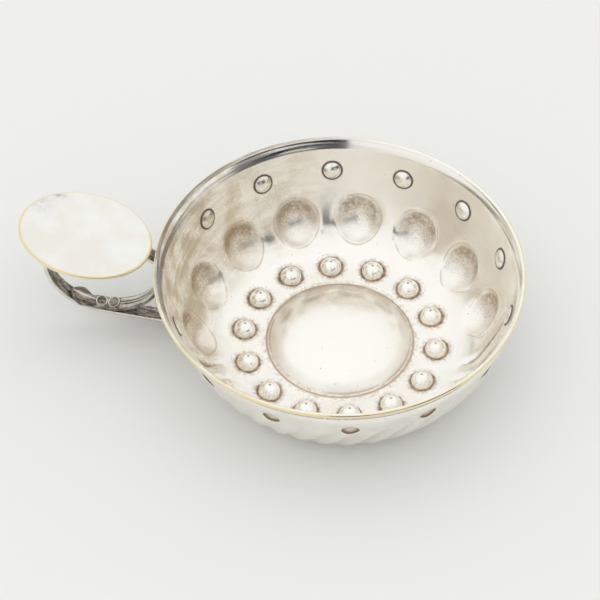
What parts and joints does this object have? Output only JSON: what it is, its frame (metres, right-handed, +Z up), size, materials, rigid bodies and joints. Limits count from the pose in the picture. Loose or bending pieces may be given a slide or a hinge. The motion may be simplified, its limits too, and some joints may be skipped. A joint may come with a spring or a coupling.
{
  "type": "tastevin",
  "caption": "Shallow silver-plated wine taster's cup with a domed and beaded floor, cupules and swirled flutes on its wall, a finger ring and an oval thumb plate.",
  "frame": {"origin": "on the bowl's axis, in the plane that it rests on", "axes": "+Z up along the bowl's axis, -X out along the handle"},
  "size_m": [0.1175, 0.085, 0.0325],
  "materials": {
    "bowl_plate": "polished silver plate over brass, tarnished brown in the creases and worn to brass on the lip's edge",
    "strap_plate": "silver plate over brass, darkly tarnished",
    "thumb_plate_plate": "smooth polished silver plate over brass, worn to brass on its edge",
    "solder": "dull grey silver solder"
  },
  "bodies": {
    "root": {"bowl": "bowl_plate", "ring_strap": "strap_plate", "scroll_leaf": "strap_plate", "thumb_plate": "thumb_plate_plate", "rim_solder": "solder", "tail_solder": "solder", "plate_solder": "solder", "leaf_solder": "solder"}
  },
  "joints": []
}
